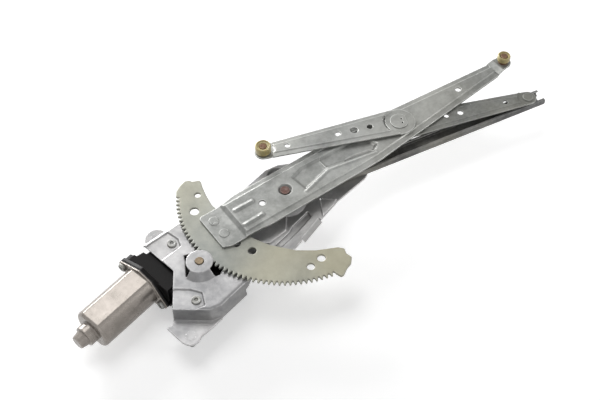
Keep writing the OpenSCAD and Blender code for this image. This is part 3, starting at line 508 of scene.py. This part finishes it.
def build_pocks() -> bpy.types.NodeTree:
    """Build the group that gives moulded plastic its fine uneven skin."""
    g, given, put = new_group(
        Effect.POCKS.value, {"Scale": 700.0},
        {"Height": "NodeSocketFloat", "Mask": "NodeSocketFloat"})
    where = g.add("ShaderNodeTexCoord").outputs["Object"]
    cells = g.add("ShaderNodeTexVoronoi", Vector=where, Scale=given.outputs["Scale"])
    cloud = g.add("ShaderNodeTexNoise", Vector=where, Scale=55.0, Detail=4.0)
    g.tree.links.new(cells.outputs["Distance"], put.inputs["Height"])
    g.tree.links.new(g.span(cloud.outputs["Fac"], *FLOW_RANGE), put.inputs["Mask"])
    return g.tree


BUILDERS: dict[Effect, Callable[[], bpy.types.NodeTree]] = {
    Effect.PATCHES: build_patches, Effect.GRAIN: build_grain, Effect.WEAR_AND_PAINTED_LIGHT: build_wear_and_painted_light,
    Effect.POCKS: build_pocks}


def use_effect(graph: Graph, effect: Effect, **inputs: object) -> bpy.types.Node:
    """Place a shared effect in a material, building its group the first time."""
    tree = bpy.data.node_groups.get(effect.value) or BUILDERS[effect]()
    return graph.add("ShaderNodeGroup", {"node_tree": tree}, **inputs)


def start_material(name: str) -> tuple[bpy.types.Material, Graph, bpy.types.Node]:
    """Make a material that holds only a Principled shader and its output."""
    material = bpy.data.materials.new(name)
    graph = clear_graph(material)
    shader = graph.add("ShaderNodeBsdfPrincipled")
    graph.add("ShaderNodeOutputMaterial", Surface=shader.outputs[0])
    return material, graph, shader


def wire_surface(graph: Graph, shader: bpy.types.Node, worn: bpy.types.Node,
                 rough: bpy.types.NodeSocket, bump: bpy.types.Node) -> None:
    """Wire a worn colour, a roughness and a bump to a shader."""
    graph.tree.links.new(worn.outputs["Colour"], shader.inputs["Base Color"])
    graph.tree.links.new(rough, shader.inputs["Roughness"])
    graph.tree.links.new(bump.outputs["Normal"], shader.inputs["Normal"])


@dataclass(frozen=True)
class ZincFinish:
    """Zinc plated sheet steel: clouded tones, rolling lines, rubbed edges with a painted highlight,
    and grime with a painted shade in the bends.
    """

    name: str
    light: Colour
    dark: Colour
    tint: Colour = (0.42, 0.40, 0.32)
    tint_amount: float = 0.25
    patch_scale: float = 34.0
    grain_turn: float = 0.0
    metallic: float = 0.4
    rough: tuple[float, float] = (0.36, 0.52)
    rub: float = 0.9
    rubbed_sheen_gain: float = 2.1
    dirt: float = 0.75
    dulling: float = 0.12
    bump: float = 0.32
    specular: float = 0.25
    slot: str = ""

    def material(self) -> bpy.types.Material:
        """Build the finish."""
        material, g, shader = start_material(self.name)
        tone = use_effect(g, Effect.PATCHES, Light=rgba(self.light), Dark=rgba(self.dark),
                          Tint=rgba(self.tint), Scale=self.patch_scale,
                          Tint_Amount=self.tint_amount)
        # Edges are brightened, as wear and a painted highlight, and creases darkened, as grime and a
        # painted shade
        worn = use_effect(g, Effect.WEAR_AND_PAINTED_LIGHT, Colour=tone.outputs["Colour"],
                          Rubbed=scaled(self.light, self.rubbed_sheen_gain), Grime=rgba(ZINC_GRIME_AND_SHADE),
                          Rub=self.rub, Dirt=self.dirt)
        grain = use_effect(g, Effect.GRAIN, Turn=self.grain_turn)
        rough = g.span(tone.outputs["Mask"], 0.0, 1.0, self.rough[1], self.rough[0])
        dulled = g.maths("ADD", rough, g.maths("MULTIPLY", grain.outputs["Scuffs"], self.dulling))
        bump = g.add("ShaderNodeBump", Height=grain.outputs["Height"], Strength=self.bump,
                     Distance=METAL_BUMP)
        wire_surface(g, shader, worn, dulled, bump)
        shader.inputs["Metallic"].default_value = self.metallic
        shader.inputs["Specular IOR Level"].default_value = self.specular
        return material


@dataclass(frozen=True)
class MouldedFinish:
    """Moulded plastic or rubber with a fine skin and faint flow clouds."""

    name: str
    colour: Colour
    cloud: Colour
    rough: tuple[float, float] = (0.38, 0.55)
    texture_scale: float = 900.0
    bump: float = 0.12
    rubbed_sheen_gain: float = 1.3
    rubbed_sheen_lift: float = 0.06
    grime_shade_gain: float = 0.35
    subsurface: float = 0.0
    depth_scale: float = 0.4
    depth_radius: Colour = (0.004, 0.003, 0.0015)
    gloss: float = 0.5
    slot: str = ""

    def material(self) -> bpy.types.Material:
        """Build the finish."""
        material, g, shader = start_material(self.name)
        skin = use_effect(g, Effect.POCKS, Scale=self.texture_scale)
        toned = g.mix(skin.outputs["Mask"], self.colour, self.cloud)
        # Edges are brightened, as wear and a painted highlight, and creases darkened, as grime and a
        # painted shade
        worn = use_effect(g, Effect.WEAR_AND_PAINTED_LIGHT, Colour=toned,
                          Rubbed=scaled(self.colour, self.rubbed_sheen_gain, self.rubbed_sheen_lift),
                          Grime=scaled(self.colour, self.grime_shade_gain), Rub=0.4, Dirt=0.5)
        rough = g.span(skin.outputs["Mask"], 0.0, 1.0, self.rough[0], self.rough[1])
        bump = g.add("ShaderNodeBump", Height=skin.outputs["Height"], Strength=self.bump,
                     Distance=MOULDED_BUMP)
        wire_surface(g, shader, worn, rough, bump)
        shader.inputs["Specular IOR Level"].default_value = self.gloss
        if self.subsurface:
            shader.inputs["Subsurface Weight"].default_value = self.subsurface
            shader.inputs["Subsurface Radius"].default_value = self.depth_radius
            shader.inputs["Subsurface Scale"].default_value = self.depth_scale
        return material


@dataclass(frozen=True)
class TurnedFinish:
    """Bare or plated metal that was turned, drawn or stamped small."""

    name: str
    light: Colour
    dark: Colour
    rough: tuple[float, float] = (0.25, 0.42)
    metallic: float = 1.0
    patch_scale: float = 120.0
    rubbed_sheen_gain: float = 1.3
    grime_shade_gain: float = 0.25
    slot: str = ""

    def material(self) -> bpy.types.Material:
        """Build the finish."""
        material, g, shader = start_material(self.name)
        tone = use_effect(g, Effect.PATCHES, Light=rgba(self.light), Dark=rgba(self.dark),
                          Tint=rgba(self.dark), Scale=self.patch_scale, Tint_Amount=0.3)
        # Edges are brightened, as wear and a painted highlight, and creases darkened, as grime and a
        # painted shade
        worn = use_effect(g, Effect.WEAR_AND_PAINTED_LIGHT, Colour=tone.outputs["Colour"],
                          Rubbed=scaled(self.light, self.rubbed_sheen_gain),
                          Grime=scaled(self.dark, self.grime_shade_gain), Rub=0.6, Dirt=0.6)
        rough = g.span(tone.outputs["Mask"], 0.0, 1.0, self.rough[1], self.rough[0])
        where = g.add("ShaderNodeTexCoord").outputs["Object"]
        tooled = g.add("ShaderNodeTexNoise", Vector=where, Scale=1500.0, Detail=2.0)
        bump = g.add("ShaderNodeBump", Height=tooled.outputs["Fac"], Strength=0.1,
                     Distance=METAL_BUMP)
        wire_surface(g, shader, worn, rough, bump)
        shader.inputs["Metallic"].default_value = self.metallic
        return material


PLATE = ZincFinish("zinc_plate", (0.41, 0.405, 0.405), (0.27, 0.27, 0.275), patch_scale=22.0,
                   grain_turn=0.4, tint_amount=0.10, rough=(0.28, 0.42))
ARM = ZincFinish("zinc_arm", (0.40, 0.405, 0.39), (0.22, 0.225, 0.215), patch_scale=18.0,
                 grain_turn=-0.17, tint_amount=0.15, rough=(0.32, 0.46))
SECTOR = ZincFinish("zinc_sector", (0.34, 0.345, 0.31), (0.24, 0.25, 0.235), (0.37, 0.33, 0.20), 0.5,
                    patch_scale=12.0, rough=(0.42, 0.52), rub=0.35)
# The rail's zinc is much darker than the arms': a painted shade for its shaded inside
RAIL_IN_PAINTED_SHADE = ZincFinish("zinc_rail", (0.19, 0.19, 0.185), (0.075, 0.075, 0.075), patch_scale=40.0)
# The arm's zinc made darker: a painted shade for the rear arm, which lies in shadow
REAR_IN_PAINTED_SHADE = ZincFinish("zinc_rear_painted_shade", (0.255, 0.26, 0.25), (0.125, 0.13, 0.125), patch_scale=26.0,
                  grain_turn=0.17, slot="zinc_arm")
STUD = ZincFinish("zinc_stud", (0.36, 0.36, 0.35), (0.20, 0.20, 0.19), patch_scale=240.0)
PIVOT = ZincFinish("pivot_steel", (0.22, 0.16, 0.14), (0.08, 0.045, 0.038), (0.14, 0.055, 0.042), 0.6,
                   patch_scale=330.0, rub=0.7)
HUB = ZincFinish("roller_hub", (0.30, 0.20, 0.13), (0.12, 0.065, 0.04), (0.20, 0.09, 0.05), 0.5,
                 patch_scale=420.0, metallic=0.2, slot="zinc_stud")
BLACK = MouldedFinish("black_plastic", (0.006, 0.0055, 0.0055), (0.010, 0.009, 0.009), (0.3, 0.42),
                      gloss=0.08)
SEAL = MouldedFinish("seal", (0.010, 0.010, 0.010), (0.016, 0.016, 0.016), (0.6, 0.8))
CREAM = MouldedFinish("cream_plastic", (0.58, 0.54, 0.42), (0.50, 0.46, 0.34), subsurface=0.2)
NYLON = MouldedFinish("roller_nylon", (0.62, 0.54, 0.28), (0.46, 0.37, 0.15), (0.3, 0.45),
                      subsurface=0.15)
CARBON = MouldedFinish("carbon", (0.03, 0.03, 0.03), (0.05, 0.05, 0.05), (0.5, 0.7))
FERRITE = MouldedFinish("ferrite", (0.035, 0.035, 0.04), (0.05, 0.05, 0.055), (0.6, 0.8))
CAN = TurnedFinish("motor_steel", (0.36, 0.325, 0.295), (0.25, 0.225, 0.20), (0.20, 0.32), 0.5, 30.0)
DARK_STEEL = TurnedFinish("dark_steel", (0.20, 0.20, 0.21), (0.12, 0.12, 0.12))
BRIGHT = TurnedFinish("bright_steel", (0.62, 0.62, 0.63), (0.50, 0.50, 0.50), (0.16, 0.28))
CORE = TurnedFinish("core_iron", (0.34, 0.34, 0.35), (0.24, 0.24, 0.25), (0.4, 0.55))
COPPER = TurnedFinish("copper", (0.70, 0.33, 0.16), (0.50, 0.20, 0.09), (0.25, 0.4))
BRONZE = TurnedFinish("bronze", (0.55, 0.36, 0.16), (0.38, 0.24, 0.10), (0.4, 0.55))
BRASS = TurnedFinish("pinion_brass", (0.25, 0.19, 0.115), (0.13, 0.095, 0.06), (0.3, 0.45), 0.5, 300.0)

Finish = ZincFinish | MouldedFinish | TurnedFinish
FINISHES: tuple[Finish, ...] = (
    PLATE, ARM, SECTOR, RAIL_IN_PAINTED_SHADE, REAR_IN_PAINTED_SHADE, STUD, PIVOT, HUB, BLACK, SEAL, CREAM, NYLON, CARBON, FERRITE, CAN,
    DARK_STEEL, BRIGHT, CORE, COPPER, BRONZE, BRASS)


# Pieces


@dataclass
class Workshop:
    """The loaded frame and the finishes that its pieces share."""

    frame: dict
    materials: dict[str, bpy.types.Material] = field(default_factory=dict)

    def prepare(self) -> None:
        """Build every finish and give each node of the frame the one its slot names."""
        self.materials = {finish.name: finish.material() for finish in FINISHES}
        for node, obj in self.frame["nodes"].items():
            for holder in obj.material_slots:
                slot = holder.material.name.split(".")[0]
                holder.material = self.materials[slot]
            LOG.info("node %s dressed", node)

    def node(self, name: str) -> bpy.types.Object:
        """Return a node of the frame."""
        return self.frame["nodes"][name]

    def finish(self, piece: bpy.types.Object, finish: Finish, body: str,
               *nodes: str) -> bpy.types.Object:
        """Dress a new piece, tie it to its body and hide the nodes that it replaces.

        Args:
            piece: The new piece, in place.
            finish: Its finish.
            body: The body that it rides on.
            *nodes: The nodes that it replaces.

        Returns:
            The same piece.
        """
        piece.data.materials.clear()
        piece.data.materials.append(self.materials[finish.name])
        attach(piece, body)
        if nodes:
            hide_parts(*nodes)
        LOG.info("piece %s: %d faces on %s", piece.name, len(piece.data.polygons), body)
        return piece

    def soften(self, node: str, finish: Finish, body: str, grid_mm: float, passes: int,
               cutters: Sequence[bmesh.types.BMesh] = ()) -> bpy.types.Object:
        """Replace a node by its own rounded copy."""
        copy = soft_copy(self.node(node), f"{node}_pressed", grid_mm, passes, cutters)
        return self.finish(copy, finish, body, node)


# Places in the frame's plane, in millimetres
GEAR_AXIS = (-108.25, -39.40)
CROSS_AXIS = (142.80, 25.18)
FRONT_AXIS = (0.0, 50.36)
LIFT_AXIS = (285.59, 50.36)
SECTOR_RIVETS = ((-76.81, 11.07), (-76.79, -6.85))
# The dots' places from the cross pivot's axis
CROSS_DOTS = ((3.6, 1.6), (2.0, -3.6))
# The lift arm's turn at rest in degrees, places along and across it, and its sheet's two heights
ARM_TURN = 10.0
ARM_RECESS = ((48.0, -3.6), (103.0, -14.5), (112.0, -8.0), (104.0, 12.0), (73.0, 13.0), (46.0, 13.0))
ARM_BEAD = ((15.5, -14.4), (49.3, -5.6), (102.0, -16.2))
ARM_SHEET = (25.0, 27.5)
# Outlines from the gear's axis
SKIRT_END = ((-60.0, 25.0), (-34.7, 25.0), (-34.7, 70.0), (-60.0, 70.0))
FLANGE_SIDE = ((-1.0, -52.8), (60.0, -27.2), (60.0, -80.0), (-1.0, -80.0))
# Lowest and highest place of what is cut away
SKIRT_HEIGHTS = (-1.0, 14.4)
FLANGE_HEIGHTS = (-1.0, 4.0)
SLOT_HEIGHTS = (27.0, 33.5)
# Radius, then lowest and highest place
CROSS_DOT = (0.95, 29.0, 34.0)
LIFT_BORE = (3.55, 31.0, 43.0)
FRONT_BORE = (3.55, 31.0, 44.0)
# Inner and outer radius, then lowest and highest place
RIVET_GROOVE = (2.8, 3.5, 25.0, 27.0)
LIFT_GROOVE = (3.8, 5.5, 38.6, 41.0)
FRONT_GROOVE = (3.8, 6.4, 40.1, 42.5)
# Crescent slots through the front arm at its two pivots; their dark insides are a painted shadow for
# the shade along the pressed steps there
# Centre, middle radius, first and last angle in degrees, and the width that the two arcs come from
FRONT_SHADOW_SLOTS = ((CROSS_AXIS, 15.0, 130.0, 206.0, 2.6), (FRONT_AXIS, 11.4, -24.0, 14.0, 2.0))
SLOT_STEPS = 14
# A slot's inner arc has its centre this share of the width behind the outer arc's, a radius this much
# smaller, and ends this many degrees sooner
SLOT_SHIFT = 0.55
SLOT_DROP = 0.25
SLOT_TRIM = 2.0


def from_gear(x: float, y: float) -> tuple[float, float]:
    """Return the place, in the frame's plane, of a point given from the gear's axis."""
    return (x + GEAR_AXIS[0], y + GEAR_AXIS[1])


def crescent(centre: tuple[float, float], radius: float, first: float, last: float,
             width: float) -> list[tuple[float, float]]:
    """Return the outline of a slot that follows an arc and narrows to both ends."""
    outer = arc_profile(centre, radius + width / 2, first, last, SLOT_STEPS)
    middle = math.radians((first + last) / 2)
    shift = width * SLOT_SHIFT
    inner_centre = (centre[0] - shift * math.cos(middle), centre[1] - shift * math.sin(middle))
    inner = arc_profile(inner_centre, radius + width / 2 - SLOT_DROP, first + SLOT_TRIM,
                        last - SLOT_TRIM, SLOT_STEPS)
    return outer + inner[::-1]


@dataclass
class PressedSheets:
    """The base plate, the arms and the sector, with the soft bends that a press leaves."""

    plate_grid: float = 0.55
    arm_grid: float = 0.5
    balance_grid: float = 0.45
    sector_grid: float = 0.45
    passes: int = ROUND
    sector_passes: int = EVEN
    recess_run: float = 4.5
    recess_depth: float = 2.0
    bead_half_width: float = 2.6
    bead_height: float = 0.9

    def arm_fall(self, along: float, across: float) -> float:
        """Return how far the lift arm's sheet goes down at a place along and across the arm."""
        fall = recess_fall(ARM_RECESS, self.recess_run, self.recess_depth, along, across)
        return fall or -bead_rise(ARM_BEAD, self.bead_half_width, self.bead_height, along, across)

    def build(self, shop: Workshop) -> None:
        """Replace each sheet by its rounded copy."""
        skirt_end = [from_gear(x, y) for x, y in SKIRT_END]
        flange_side = [from_gear(x, y) for x, y in FLANGE_SIDE]
        shop.soften("base_plate", PLATE, "base", self.plate_grid, self.passes,
                    [prism(skirt_end, *SKIRT_HEIGHTS), prism(flange_side, *FLANGE_HEIGHTS)])
        arm = shop.soften("lift_arm", ARM, "lift", self.arm_grid, self.passes)
        press_sheet(arm, ARM_TURN, ARM_SHEET, self.arm_fall)
        # The front arm gets crescent slots whose dark insides stand in for the shadow of its pressed
        # steps
        shop.soften("front_arm", ARM, "balance", self.balance_grid, self.passes,
                    [prism(crescent(*slot), *SLOT_HEIGHTS) for slot in FRONT_SHADOW_SLOTS])
        # The rear arm wears the darkened arm zinc, a painted shade
        shop.soften("rear_arm", REAR_IN_PAINTED_SHADE, "balance", self.balance_grid, self.passes)
        shop.soften("sector_gear", SECTOR, "lift", self.sector_grid, self.sector_passes)


@dataclass
class Fittings:
    """The turned, moulded and rolled pieces, with the small radii of their real edges."""

    small_grid: float = 0.26
    roller_grid: float = 0.32
    rail_grid: float = 0.42
    housing_grid: float = 0.5
    can_grid: float = 0.5
    flush_head: float = 2.25

    def build(self, shop: Workshop) -> None:
        """Replace each piece by its rounded copy."""
        self.build_motor(shop)
        # The rail wears darkened zinc, a painted shade
        shop.soften("guide_rail", RAIL_IN_PAINTED_SHADE, "base", self.rail_grid, EVEN)
        # The stud in the rail wears the darkened arm zinc, a painted shade
        shop.soften("rail_stud", REAR_IN_PAINTED_SHADE, "balance", self.roller_grid, EVEN)
        shop.soften("pivot_post", PIVOT, "base", self.small_grid, CRISP)
        shop.soften("pinion", BRASS, "output", self.small_grid, CRISP)
        punched = [drill(CROSS_AXIS[0] + x, CROSS_AXIS[1] + y, *CROSS_DOT) for x, y in CROSS_DOTS]
        shop.soften("cross_pivot", ARM, "balance", self.small_grid, CRISP, punched)
        rings = [groove(centre, *RIVET_GROOVE) for centre in SECTOR_RIVETS]
        shop.soften("sector_rivets", ARM, "lift", self.small_grid, CRISP, rings)
        shop.soften("lift_roller", NYLON, "lift_wheel", self.roller_grid, EVEN,
                    [groove(LIFT_AXIS, *LIFT_GROOVE), drill(*LIFT_AXIS, *LIFT_BORE)])
        shop.soften("front_roller", NYLON, "front_wheel", self.roller_grid, EVEN,
                    [groove(FRONT_AXIS, *FRONT_GROOVE), drill(*FRONT_AXIS, *FRONT_BORE)])
        shop.soften("lift_stud", HUB, "lift", self.roller_grid, ROUND)
        shop.soften("front_stud", HUB, "balance", self.roller_grid, ROUND)
        studs = shop.soften("panel_studs", PLATE, "base", self.roller_grid, EVEN)
        for vertex in studs.data.vertices:
            vertex.co.z = min(vertex.co.z, self.flush_head * MM)

    def build_motor(self, shop: Workshop) -> None:
        """Replace the gearbox's housing, the steel can and their screws."""
        shop.soften("gearbox_housing", BLACK, "base", self.housing_grid, EVEN)
        shop.soften("motor_can", CAN, "base", self.can_grid, ROUND)
        shop.soften("motor_screws", STUD, "base", self.roller_grid, CRISP)
        shop.soften("gearbox_screws", STUD, "base", self.small_grid, CRISP)


# Studio


@dataclass(frozen=True)
class Lamp:
    """A soft square lamp that faces the object."""

    name: str
    place: tuple[float, float, float]
    size: float
    power: float


LAMPS = (
    Lamp("back", (-0.15, 1.5, 0.40), 0.8, 27.0),
    Lamp("top", (-0.1, 0.7, 1.5), 0.9, 8.5),
    Lamp("side", (1.25, -0.9, 0.95), 0.55, 5.0),
    Lamp("fill", (-0.6, -1.3, 0.7), 1.0, 2.0))


def shown_white(graph: Graph) -> bpy.types.NodeSocket:
    """Return a mask that is one for rays that see the backdrop straight or through a gloss."""
    path = graph.add("ShaderNodeLightPath").outputs
    seen = graph.maths("MAXIMUM", path["Is Camera Ray"], path["Is Glossy Ray"])
    return graph.maths("MAXIMUM", seen, path["Is Transmission Ray"])


@dataclass
class Studio:
    """The camera, which was solved from the pivots and the teeth, and the floor and the lamps."""

    focal_px: float = 1050.66
    width_px: float = 600.0
    sensor_mm: float = 36.0
    azimuth: float = -25.144
    elevation: float = 52.312
    roll: float = -1.241
    distance: float = 1.06160
    aim: tuple[float, float, float] = (0.01633, 0.00046, 0.0)
    sight: float = 20.0
    ambient: float = 0.20
    floor_half: float = 6.0
    floor_tone: float = 0.86
    floor_glow: float = 0.45

    def add_camera(self) -> None:
        """Set the camera at the photograph's place, turn and focal length."""
        az, el, roll = (math.radians(v) for v in (self.azimuth, self.elevation, self.roll))
        back = Vector((math.sin(az) * math.cos(el), -math.cos(az) * math.cos(el), math.sin(el)))
        level = Vector((0, 0, 1)).cross(back).normalized()
        rise = back.cross(level)
        right = level * math.cos(roll) + rise * math.sin(roll)
        up = rise * math.cos(roll) - level * math.sin(roll)
        data = bpy.data.cameras.new("camera")
        data.sensor_width = self.sensor_mm
        data.lens = self.focal_px / self.width_px * self.sensor_mm
        data.clip_end = self.sight
        camera = bpy.data.objects.new("camera", data)
        bpy.context.scene.collection.objects.link(camera)
        place = Matrix((right, up, back)).transposed().to_4x4()
        place.translation = Vector(self.aim) + back * self.distance
        camera.matrix_world = place
        bpy.context.scene.camera = camera

    def add_lamp(self, lamp: Lamp) -> None:
        """Hang one lamp and turn it to the object."""
        data = bpy.data.lights.new(lamp.name, "AREA")
        data.shape = "SQUARE"
        data.size = lamp.size
        data.energy = lamp.power
        obj = bpy.data.objects.new(lamp.name, data)
        bpy.context.scene.collection.objects.link(obj)
        away = Vector(lamp.place) - Vector(self.aim)
        turn = away.to_track_quat("Z", "Y").to_matrix().to_4x4()
        obj.matrix_world = Matrix.Translation(lamp.place) @ turn

    def add_world(self) -> None:
        """Light the scene evenly, with a white backdrop."""
        world = bpy.data.worlds.new("studio")
        graph = clear_graph(world)
        strength = graph.span(shown_white(graph), 0.0, 1.0, self.ambient, 1.0)
        light = graph.add("ShaderNodeBackground", Color=WHITE, Strength=strength)
        graph.add("ShaderNodeOutputWorld", Surface=light.outputs[0])
        bpy.context.scene.world = world

    def add_floor(self, height: float) -> None:
        """Lay a pale floor under the object, which keeps the object's shadow."""
        bm = bmesh.new()
        bmesh.ops.create_grid(bm, x_segments=1, y_segments=1, size=self.floor_half,
                              matrix=Matrix.Translation((0, 0, height)))
        floor = link_mesh("floor", bm)
        material = bpy.data.materials.new("floor")
        graph = clear_graph(material)
        matt = graph.add("ShaderNodeBsdfDiffuse", Color=rgba((self.floor_tone,) * 3))
        strength = graph.maths("MULTIPLY", shown_white(graph), self.floor_glow)
        glow = graph.add("ShaderNodeEmission", Color=WHITE, Strength=strength)
        both = graph.add("ShaderNodeAddShader")
        graph.tree.links.new(matt.outputs[0], both.inputs[0])
        graph.tree.links.new(glow.outputs[0], both.inputs[1])
        graph.add("ShaderNodeOutputMaterial", Surface=both.outputs[0])
        floor.data.materials.append(material)
        floor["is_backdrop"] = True

    def build(self, lowest: float) -> None:
        """Set up the whole studio.

        Args:
            lowest: The height of the object's lowest point.
        """
        self.add_camera()
        self.add_world()
        self.add_floor(lowest)
        for lamp in LAMPS:
            self.add_lamp(lamp)
        bpy.context.scene.view_settings.view_transform = "Standard"


# Scene


def as_lists(box: Sequence[Sequence[float]]) -> list[list[float]]:
    """Return a box's corners as plain lists."""
    return [[float(v) for v in corner] for corner in box]


def main() -> None:
    """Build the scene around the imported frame."""
    logging.basicConfig(level=logging.INFO, format="%(message)s")
    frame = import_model()
    cad_box = as_lists(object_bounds())
    shop = Workshop(frame)
    studio = Studio()
    studio.build(cad_box[0][2])
    shop.prepare()
    PressedSheets().build(shop)
    Fittings().build(shop)


if __name__ == "__main__":
    main()
